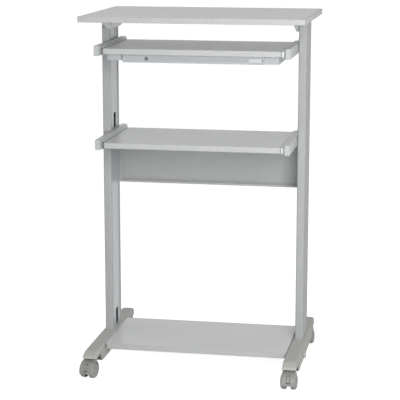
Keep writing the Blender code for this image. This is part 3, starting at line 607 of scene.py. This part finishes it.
def add_arm(side, shelf):
    """Arm with lengthwise grooves along its top and a rounded rear end."""
    name = f"{side}_{shelf}_arm"
    low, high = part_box(name)
    reach = ARM_GROOVE_WIDTH / 2
    floor = high.z - ARM_GROOVE_DEPTH
    corners = [(low.x, low.z, ARM_ROUNDING), (high.x, low.z, ARM_ROUNDING), (high.x, high.z, ARM_ROUNDING)]
    for share in ARM_GROOVES:
        middle = high.x + (low.x - high.x) * share
        corners += [
            (middle + reach, high.z, 0), (middle + reach / 2, floor, 0),
            (middle - reach / 2, floor, 0), (middle - reach, high.z, 0),
        ]
    corners.append((low.x, high.z, ARM_ROUNDING))
    outline = fillet(corners, FINE_STEPS)
    centre = (low.z + high.z) / 2
    half = (high.z - low.z) / 2
    sections = [(low.y, outline)]
    for sine, cosine in quarter(END_STEPS):
        share = 1 - ARM_END * (1 - cosine) / half
        squeezed = [(x, centre + (z - centre) * share) for x, z in outline]
        sections.append((high.y - ARM_END * (1 - sine), squeezed))
    bm = bmesh.new()
    add_loft(bm, "y", sections)
    piece(name + "_profile", bm, "steel_paint", "frame", [name], ARM_PAINT)


def add_cap(side, shelf):
    """Rounded cap on an arm's front end."""
    name = f"{side}_{shelf}_cap"
    low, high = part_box(name)

    def outline(inset):
        return rectangle(low.x + inset, high.x - inset, low.z + inset, high.z - inset, CAP_CORNER)

    sections = [
        (low.y + CAP_ROUNDING * (1 - sine), outline(CAP_ROUNDING * (1 - cosine)))
        for sine, cosine in reversed(quarter(CORNER_STEPS))
    ]
    sections.append((low.y + CAP_THICKNESS, outline(0)))
    bm = bmesh.new()
    add_loft(bm, "y", sections)
    piece(name + "_moulding", bm, "pale_plastic", "frame", [name])


def channel(back, mouth, middle, half):
    """Outline of a sheet channel, (x, z), open towards its mouth, with its edges turned in."""
    way = math.copysign(1, mouth - back)
    inner = back + way * SLIDE_SHEET
    lip = mouth - way * SLIDE_SHEET
    upper = [
        (back, half), (mouth, half), (mouth, half - SLIDE_LIP), (lip, half - SLIDE_LIP),
        (lip, half - SLIDE_SHEET), (inner, half - SLIDE_SHEET),
    ]
    lower = [(x, -z) for x, z in reversed(upper)]
    return [(x, middle + z) for x, z in upper + lower]


def near_far(low, high):
    """Two places across the desk, the one nearer to its middle first."""
    return sorted((low, high), key=abs)


def add_channel(node, body, back, mouth):
    """Sheet channel in the space of a slide's race or rail."""
    low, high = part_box(node)
    outline = channel(back, mouth, (low.z + high.z) / 2, (high.z - low.z) / 2)
    bm = bmesh.new()
    add_loft(bm, "y", [(low.y + SLIDE_SETBACK, outline), (high.y, outline)])
    piece(f"{node}_channel", bm, "zinc", body, [node])


def add_race(side, shelf):
    """Race of a slide: a channel on the arm, with a thin plate on the shelf before its front end, grey on the
    right as painted shade.
    """
    race = f"{side}_{shelf}_race"
    body = f"{shelf}_shelf"
    low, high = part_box(race)
    mouth, outer = near_far(low.x, high.x)
    add_channel(race, "frame", outer, mouth)
    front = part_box(body)[0].y + RACE_END_SETBACK
    low_x, high_x = sorted((outer, outer - SIDES[side] * RACE_END_WIDTH))
    bm = bmesh.new()
    add_block(bm, (low_x, front, low.z), (high_x, front + RACE_END_DEPTH, high.z), PLATE_ROUNDING)
    piece(race + "_end", bm, "pale_plastic", body, finish=LIT_AND_SHADED_PLATES[side])


def add_rail(side, shelf):
    """Rail of a slide: a channel on the shelf, with a stop block at its front, dark on the left as painted shade.
    """
    rail = f"{side}_{shelf}_rail"
    body = f"{shelf}_shelf"
    low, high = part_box(rail)
    inner, outer = near_far(low.x, high.x)
    add_channel(rail, body, inner, outer)
    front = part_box(body)[0].y + STOP_SETBACK
    bottom = (low.z + high.z - STOP_HEIGHT) / 2
    edge = inner + SIDES[side] * STOP_OFFSET
    low_x, high_x = sorted((edge, edge + SIDES[side] * STOP_WIDTH))
    bm = bmesh.new()
    add_block(
        bm, (low_x, front, bottom), (high_x, front + STOP_DEPTH, bottom + STOP_HEIGHT), STOP_ROUNDING)
    piece(rail + "_stop", bm, "pale_plastic", body, finish=LIT_AND_SHADED_STOPS[side])


def add_tray():
    """Drawer's folded tray, with a lip along each side and a plate at its rear."""
    low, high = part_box("drawer_tray")
    half = high.x - TRAY_LIP
    inside = half - TRAY_WALL
    floor = low.z + TRAY_WALL
    ledge = high.z - TRAY_LIP_THICKNESS
    right = [
        (inside, floor, TRAY_INNER_BEND), (inside, high.z, 0), (high.x, high.z, 0), (high.x, ledge, 0),
        (half, ledge, 0), (half, low.z, TRAY_BEND),
    ]
    left = [(-x, z, radius) for x, z, radius in reversed(right)]
    outline = fillet(right + left)
    end = rectangle(-half, half, low.z, high.z, TRAY_INNER_BEND)
    bm = bmesh.new()
    add_loft(bm, "y", [(low.y + FASCIA_DEPTH, outline), (high.y - TRAY_WALL, outline)])
    add_loft(bm, "y", [(high.y - TRAY_WALL, end), (high.y, end)])
    piece("drawer_tray_shell", bm, "drawer_plastic", "drawer", ["drawer_tray"])


def add_drawer_front():
    """Drawer's front, with rounded edges and a long recess."""
    low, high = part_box("drawer_tray")
    half = high.x - TRAY_LIP
    end = half + FASCIA_REACH
    top = high.z - FASCIA_DROP
    middle = (low.z + high.z) / 2

    def outline(inset):
        return rectangle(inset - half, end - inset, low.z + inset, top - inset, FASCIA_CORNER - inset)

    groove = rectangle(
        GROOVE_START - half, half - GROOVE_STOP, middle - GROOVE_HEIGHT / 2, middle + GROOVE_HEIGHT / 2,
        GROOVE_CORNER)
    sections = [(low.y + FASCIA_DEPTH, outline(0))]
    for sine, cosine in quarter(FINE_STEPS):
        sections.append((low.y + FASCIA_ROUNDING * (1 - sine), outline(FASCIA_ROUNDING * (1 - cosine))))
    sections += [(low.y, groove), (low.y + GROOVE_DEPTH, groove)]
    bm = bmesh.new()
    add_loft(bm, "y", sections)
    piece("drawer_front", bm, "drawer_plastic", "drawer")


def add_lock_rim(centre, flange, plug, front, seat):
    """Rim on the drawer's front, dished towards the lock's plug, near-black as painted shade of the lock's recess.
    """
    floor = front + LOCK_DISH
    bore = plug + LOCK_EDGE / 2
    rim = [
        (flange, seat), (flange, front + LOCK_EDGE), (flange - LOCK_EDGE, front),
        (plug + 2 * LOCK_EDGE, floor), (bore, floor), (bore, seat),
    ]
    bm = bmesh.new()
    add_loft(bm, "y", [(along, circle(centre, reach, ROUND)) for reach, along in rim], ring=True)
    piece("lock_rim", bm, "lock_nickel", "drawer", finish=PAINTED_SHADE)


def add_lock_plug(centre, plug, front, seat):
    """Bright plug that turns in the rim, with a keyway that its points face."""
    x, z = centre
    keyway = rectangle(
        x - KEYWAY_WIDTH / 2, x + KEYWAY_WIDTH / 2, z - KEYWAY_HEIGHT / 2, z + KEYWAY_HEIGHT / 2,
        KEYWAY_CORNER)
    sides = len(keyway)
    first_corner = -3 * math.pi / 4
    phase = first_corner - math.pi / sides
    wide = circle(centre, plug, sides, phase)
    narrow = circle(centre, plug - LOCK_EDGE / 2, sides, phase)
    bm = bmesh.new()
    add_loft(bm, "y", [
        (seat, wide), (front + LOCK_EDGE, wide), (front, narrow),
        (front, keyway), (front + KEYWAY_DEPTH, keyway),
    ])
    piece("lock_plug", bm, "lock_nickel", "drawer_lock", ["drawer_lock"])


def add_lock():
    """Lock in the drawer's front: a rim and a plug."""
    low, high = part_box("drawer_lock")
    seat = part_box("drawer_tray")[0].y
    centre = ((low.x + high.x) / 2, (low.z + high.z) / 2)
    radius = (high.x - low.x) / 2
    plug = radius * LOCK_PLUG
    add_lock_rim(centre, radius + LOCK_FLANGE, plug, low.y, seat)
    add_lock_plug(centre, plug, low.y, seat)


def add_pull():
    """Finger pull: a thin plate on the drawer's front with a slit, its floor a near-black sheet of painted shade,
    and a few upright ribs.
    """
    low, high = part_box("drawer_pull")
    middle = (low.z + high.z) / 2
    front = low.y + PULL_RIB_HEIGHT
    floor = high.y - PULL_SLIT_FLOOR
    slit_end = high.x - PULL_SLIT_END
    slit = (
        slit_end - PULL_SLIT_WIDTH, slit_end, middle - PULL_SLIT_HEIGHT / 2, middle + PULL_SLIT_HEIGHT / 2,
    )
    plate = rectangle(low.x, high.x, low.z, high.z, PULL_CORNER)
    mouth = rectangle(*slit, PULL_SLIT_CORNER)
    bm = bmesh.new()
    add_loft(bm, "y", [(high.y, plate), (front, plate), (front, mouth), (floor, mouth)])
    start = low.x + (high.x - low.x) * PULL_RIB_START
    for k in range(PULL_RIBS):
        left = start + k * PULL_RIB_SPACING
        rib = rectangle(
            left, left + PULL_RIB_WIDTH, low.z + PULL_CORNER, high.z - PULL_CORNER, PULL_RIB_CORNER,
            PULL_RIB_STEPS)
        add_loft(bm, "y", [(low.y, rib), (front, rib)])
    piece("drawer_pull_plate", bm, "drawer_plastic", "drawer", ["drawer_pull"], PULL)
    # Near-black sheet in the slit's floor: painted shade
    slit_shade = rectangle(*slit, PULL_SLIT_SHADE_CORNER)
    bm = bmesh.new()
    add_loft(bm, "y", [(floor, slit_shade), (floor - PULL_SLIT_FLOOR, slit_shade)])
    piece("drawer_pull_slit", bm, "drawer_plastic", "drawer", finish=PAINTED_SHADE)


def slot_places(side):
    """Low and high y and z of the open slots in a cable cover, read from its corners."""
    cover = f"{side}_cable_cover"
    low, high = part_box(cover)
    inside = [
        v.co for v in NODES[cover].data.vertices
        if low.y + TOUCH < v.co.y < high.y - TOUCH and low.z + TOUCH < v.co.z < high.z - TOUCH
    ]
    levels = sorted(round(p.z, SLOT_DIGITS) for p in inside)
    breaks = [k for k in range(1, len(levels)) if levels[k] - levels[k - 1] > SLOT_SPACING]
    edges = [0, *breaks, len(levels)]
    across = [p.y for p in inside]
    places = [(min(across), max(across), levels[a], levels[b - 1]) for a, b in zip(edges, edges[1:])]
    return places[:OPEN_SLOTS]


def slot_outline(place, inset):
    """Outline of a cable slot, (y, z), at an inset from its edge."""
    start, end, bottom, top = place
    return rectangle(start + inset, end - inset, bottom + inset, top - inset, SLOT_CORNER - inset)


def add_slot_rims(side):
    """Moulded rims round the cable slots that are open."""
    low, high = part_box(f"{side}_cable_cover")
    face = near_far(low.x, high.x)[0]
    crest = face - SIDES[side] * RIM_HEIGHT
    for number, place in enumerate(slot_places(side)):
        crests = [(crest, slot_outline(place, RIM_WIDTH * share)) for share in RIM_CREST]
        rim = [(face, slot_outline(place, 0)), *crests, (face, slot_outline(place, RIM_WIDTH))]
        bm = bmesh.new()
        add_loft(bm, "x", rim, ring=True)
        piece(f"{side}_slot_rim_{number}", bm, "cover", "frame")


def add_duct_shade_sheets(side):
    """Near-black sheets round the walls inside a post, behind the open cable slots: painted shade of the post's
    inside.
    """
    sign = SIDES[side]
    cover_low, cover_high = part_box(f"{side}_cable_cover")
    post_low, post_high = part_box(f"{side}_post")
    mouth = near_far(cover_low.x, cover_high.x)[1] + sign * DUCT_SHADE_SEAT
    wall = near_far(post_low.x, post_high.x)[1] - sign * (POST_SHEET + DUCT_SHADE_SEAT)
    front = post_low.y + POST_SHEET + DUCT_SHADE_SEAT
    back = post_high.y - POST_SHEET - DUCT_SHADE_SEAT
    inside = wall - sign * DUCT_SHADE_SHEET
    outline = [
        (mouth, front), (wall, front), (wall, back), (mouth, back), (mouth, back - DUCT_SHADE_SHEET),
        (inside, back - DUCT_SHADE_SHEET), (inside, front + DUCT_SHADE_SHEET), (mouth, front + DUCT_SHADE_SHEET),
    ]
    for number, (*_, bottom, top) in enumerate(slot_places(side)):
        foot = max(bottom - DUCT_SHADE_BELOW, post_low.z + DUCT_SHADE_SEAT)
        bm = bmesh.new()
        add_loft(bm, "z", [(foot, outline), (top + DUCT_SHADE_ABOVE, outline)])
        piece(f"{side}_duct_painted_shade_{number}", bm, "cover", "frame", finish=PAINTED_SHADE)


def add_hollows(side):
    """Near-black sheets on the slants of a foot's belly, behind its front caster and before its rear one: painted
    shade of open hollows there.
    """
    foot = NODES[f"{side}_foot"]
    low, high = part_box(f"{side}_foot")
    crest = high.z - NOSE_THICKNESS + NOTCH_RISE
    peaks = [v.co.y for v in foot.data.vertices if abs(v.co.z - crest) < TOUCH]
    length = math.hypot(BELLY_SLANT, crest - low.z)
    run = BELLY_SLANT / length
    fall = (crest - low.z) / length
    reach = length * HOLLOW_SHARE
    corners = ((0, HOLLOW_SEAT), (reach, HOLLOW_SEAT), (reach, HOLLOW_PROUD), (0, HOLLOW_PROUD))
    for end, way in (("front", 1), ("rear", -1)):
        stem = JOINTS[f"{end}_{side}_swivel"]["pos_m"][1]
        peak = min((y for y in peaks if (y - stem) * way > NOTCH_RUN), key=lambda y: abs(y - stem))
        outline = [
            (peak + way * (run * along - fall * out), crest - fall * along - run * out)
            for along, out in corners
        ]
        bm = bmesh.new()
        add_loft(bm, "x", [(low.x + FOOT_WALL, outline), (high.x - FOOT_WALL, outline)])
        piece(f"{side}_{end}_hollow", bm, "casting", "frame", finish=PAINTED_SHADE)


def axle_place(caster):
    """Middle of a caster's axle, with X along the axle, from the wheels' joints."""
    ends = [Vector(JOINTS[f"{caster}_{side}_spin"]["pos_m"]) for side in SIDES]
    along = ends[1] - ends[0]
    turn = Matrix.Rotation(math.atan2(along.y, along.x), 4, "Z")
    return Matrix.Translation((ends[0] + ends[1]) / 2) @ turn


def add_wheel(caster, side):
    """Wheel with a grooved tread, a domed outer side and a hollow inner side."""
    sign = SIDES[side]
    middle = axle_place(SQUARE).to_translation()
    low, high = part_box(f"{SQUARE}_right_wheel")
    radius = (high.z - low.z) / 2
    inner = low.x - middle.x
    width = high.x - low.x
    dome = radius - DOME_FALL
    rim = radius - WHEEL_RIM
    profile = [
        (WHEEL_HUB - WHEEL_STEP, 0.0), (WHEEL_HUB, WHEEL_STEP), (WHEEL_HUB + WHEEL_STEP, WHEEL_RECESS),
        (rim - WHEEL_STEP, WHEEL_RECESS), (rim, WHEEL_STEP), (rim + WHEEL_STEP, 0.0),
        (radius - TREAD_CHAMFER, 0.0), (radius, TREAD_CHAMFER),
    ]
    for along in TREAD_GROOVES:
        profile += [
            (radius, along), (radius - TREAD_GROOVE, along + TREAD_GROOVE),
            (radius - TREAD_GROOVE, along + 2 * TREAD_GROOVE), (radius, along + 3 * TREAD_GROOVE),
        ]
    profile += [
        (dome + DOME_FALL * cosine, width - DOME_WIDTH * (1 - sine))
        for sine, cosine in quarter(END_STEPS)
    ]
    profile += [(WHEEL_DIMPLE, width), (WHEEL_DIMPLE - WHEEL_STEP, width - WHEEL_STEP)]
    bm = bmesh.new()
    add_turned(bm, "x", [(reach, sign * (inner + along)) for reach, along in profile], WHEEL_SIDES, (0, 0))
    bm.transform(axle_place(caster))
    name = f"{caster}_{side}_wheel"
    piece(name + "_tyre", bm, "wheel", name, [name])


def add_lever(caster):
    """Brake lever: a curved rocker with ribs across it."""
    axle = axle_place(SQUARE).to_translation()
    low, high = [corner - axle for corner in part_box(f"{SQUARE}_brake_lever")]
    reach = math.hypot(low.y, low.z)
    inner = reach - LEVER_DEPTH
    start = math.asin(low.z / inner)
    end = math.asin(high.z / reach)
    outline = []
    steps = LEVER_RIBS * LEVER_RIB_STEPS
    for k in range(steps + 1):
        angle = math.pi - start - (end - start) * k / steps
        ripple = math.cos(2 * math.pi * k / steps * LEVER_RIBS)
        radius = reach - LEVER_RIB_HEIGHT * (1 + ripple) / 2
        outline.append((radius * math.cos(angle), radius * math.sin(angle)))
    for k in range(END_STEPS + 1):
        angle = math.pi - end + (end - start) * k / END_STEPS
        outline.append((inner * math.cos(angle), inner * math.sin(angle)))
    half = high.x - LEVER_SLACK
    bm = bmesh.new()
    add_loft(bm, "x", [(-half, outline), (half, outline)])
    bm.transform(axle_place(caster))
    name = f"{caster}_brake_lever"
    piece(name + "_rocker", bm, "caster_plastic", f"{caster}_brake", [name])


def add_screw(name, axis, centre, seat, way, radius=SCREW_RADIUS, height=SCREW_HEIGHT, slot="lock_nickel"):
    """Button-head screw with a hexagon socket, standing on a face of the frame."""
    sections = [
        (seat + way * height * rise, circle(centre, radius * share, ROUND)) for share, rise in SCREW_DOME
    ]
    socket = hexagon(centre, radius * SOCKET_SHARE, ROUND)
    sections += [(seat + way * height, socket), (seat + way * height * SOCKET_FLOOR, socket)]
    bm = bmesh.new()
    add_loft(bm, axis, sections)
    return piece(name, bm, slot, "frame")


def add_foot_bolt(side):
    """Bolt through a foot, with a domed head outside and a nut on the shelf's angle."""
    sign = SIDES[side]
    name = f"{side}_foot_bolt"
    low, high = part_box(name)
    centre = ((low.y + high.y) / 2, (low.z + high.z) / 2)
    inner, outer = near_far(low.x, high.x)
    seat = outer - sign * BOLT_HEAD
    head = add_screw(name + "_head", "x", centre, seat, sign, (high.z - low.z) / 2, BOLT_HEAD, "casting")
    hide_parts(name)
    angle_low, angle_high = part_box(f"{side}_shelf_angle")
    leg = near_far(angle_low.x, angle_high.x)[1] - sign * ANGLE_SHEET
    end = leg - sign * NUT_HEIGHT
    nut = hexagon(centre, NUT_RADIUS, ROUND)
    tip = circle(centre, NUT_RADIUS - NUT_CHAMFER, ROUND)
    shank = circle(centre, BOLT_RADIUS, ROUND)
    bm = bmesh.new()
    add_loft(bm, "x", [
        (leg, nut), (end + sign * NUT_CHAMFER, nut), (end, tip), (end, shank), (inner, shank),
    ])
    piece(name + "_nut", bm, "zinc", "frame")


def add_top_screws(side):
    """Screws that hold the top bracket to the top and to the post."""
    sign = SIDES[side]
    low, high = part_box(f"{side}_top_bracket")
    inner, web = near_far(low.x, high.x)
    for number, share in enumerate(BRACKET_SCREWS):
        place = (inner + sign * BRACKET_SCREW_INSET, low.y + (high.y - low.y) * share)
        add_screw(f"{side}_top_screw_{number}", "z", place, high.z - BRACKET_SHEET, -1)
    post_low, post_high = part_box(f"{side}_post")
    for number, share in enumerate(POST_SCREWS):
        place = (post_low.y + (post_high.y - post_low.y) * share, low.z + POST_SCREW_RISE)
        add_screw(f"{side}_post_screw_{number}", "x", place, web - sign * BRACKET_SHEET, -sign)


def add_angle_screws(side):
    """Screws that hold the shelf's angle to the base shelf."""
    low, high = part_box(f"{side}_shelf_angle")
    inner = near_far(low.x, high.x)[0]
    for number, share in enumerate(ANGLE_SCREWS):
        place = (inner + SIDES[side] * ANGLE_SCREW_INSET, low.y + (high.y - low.y) * share)
        add_screw(f"{side}_angle_screw_{number}", "z", place, high.z - ANGLE_SHEET, -1)


def add_panel_screws(side):
    """Screws through the modesty panel's end into the post's lip."""
    sign = SIDES[side]
    low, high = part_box("modesty_panel")
    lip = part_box(f"{side}_post")[1].y
    for number, share in enumerate(PANEL_SCREWS):
        place = ((low.y + lip) / 2, low.z + (high.z - low.z) * share)
        name = f"{side}_panel_screw_{number}"
        add_screw(name, "x", place, sign * (high.x - PANEL_SHEET), -sign, PANEL_SCREW_RADIUS)


def add_camera():
    """Camera at the photograph's place."""
    lens = bpy.data.cameras.new("camera")
    lens.lens = LENS
    lens.clip_end = CLIP_END
    camera = bpy.data.objects.new("camera", lens)
    camera.location = CAMERA_PLACE
    camera.rotation_euler = (math.pi / 2 - CAMERA_PITCH, 0, CAMERA_TURN)
    bpy.context.scene.collection.objects.link(camera)
    bpy.context.scene.camera = camera


def add_lamp(name, place, size, watts):
    """Soft square lamp that the camera doesn't see."""
    data = bpy.data.lights.new(name, "AREA")
    data.size = size
    data.energy = watts
    lamp = bpy.data.objects.new(name, data)
    lamp.location = place
    lamp.rotation_euler = (Vector(LAMP_AIM) - Vector(place)).to_track_quat("-Z", "Y").to_euler()
    lamp.visible_camera = False
    bpy.context.scene.collection.objects.link(lamp)


def white_to_camera(tree):
    """Socket that is 1 for rays that show the background, straight, by reflection or through glass."""
    rays = tree.nodes.new("ShaderNodeLightPath").outputs
    shown = rays["Is Camera Ray"]
    for kind in ("Is Glossy Ray", "Is Transmission Ray"):
        either = tree.nodes.new("ShaderNodeMath")
        either.operation = "MAXIMUM"
        link(tree, shown, either.inputs[0])
        link(tree, rays[kind], either.inputs[1])
        shown = either.outputs[0]
    return shown


def add_world():
    """White background, with a softer light of its own on the object."""
    world = bpy.data.worlds.new("studio")
    world.use_nodes = True
    tree = world.node_tree
    background = tree.nodes["Background"]
    background.inputs["Color"].default_value = (1, 1, 1, 1)
    strength = tree.nodes.new("ShaderNodeMapRange")
    strength.inputs["To Min"].default_value = AMBIENT
    strength.inputs["To Max"].default_value = 1.0
    link(tree, white_to_camera(tree), strength.inputs["Value"])
    link(tree, strength.outputs["Result"], background.inputs["Strength"])
    bpy.context.scene.world = world


def add_floor():
    """Pale floor that is white to the camera and keeps the desk's shadow."""
    bpy.ops.mesh.primitive_plane_add(size=FLOOR_SIZE)
    floor = bpy.context.object
    floor.name = "floor"
    floor.location.z = CAD_BOX[0][2] - FLOOR_GAP
    material = bpy.data.materials.new("floor")
    material.use_nodes = True
    tree = material.node_tree
    shader = tree.nodes["Principled BSDF"]
    shader.inputs["Base Color"].default_value = (FLOOR_GREY, FLOOR_GREY, FLOOR_GREY, 1)
    shader.inputs["Roughness"].default_value = FLOOR_ROUGHNESS
    shader.inputs["Specular IOR Level"].default_value = 0.0
    shader.inputs["Emission Color"].default_value = (1, 1, 1, 1)
    glow = tree.nodes.new("ShaderNodeMapRange")
    glow.inputs["To Max"].default_value = FLOOR_GLOW
    link(tree, white_to_camera(tree), glow.inputs["Value"])
    link(tree, glow.outputs["Result"], shader.inputs["Emission Strength"])
    floor.data.materials.append(material)


dress_nodes()
add_board("top_board", "frame", BOARD_CORNER)
add_board("keyboard_shelf", "keyboard_shelf", BOARD_CORNER)
add_board("middle_shelf", "middle_shelf", BOARD_CORNER)
add_board("base_shelf", "frame", BASE_CORNER)
for side in SIDES:
    add_slot_rims(side)
    add_top_screws(side)
    add_angle_screws(side)
    add_foot_bolt(side)
    add_hollows(side)
    add_panel_screws(side)
    add_duct_shade_sheets(side)
    for shelf in SHELVES:
        add_arm(side, shelf)
        add_cap(side, shelf)
        add_race(side, shelf)
        add_rail(side, shelf)
add_tray()
add_drawer_front()
add_lock()
add_pull()
for caster in CASTERS:
    for side in SIDES:
        add_wheel(caster, side)
for caster in BRAKED:
    add_lever(caster)
for node in NODES.values():
    even_out(node)
add_camera()
add_world()
add_floor()
for lamp in LAMPS:
    add_lamp(*lamp)
bpy.context.scene.view_settings.view_transform = "Standard"
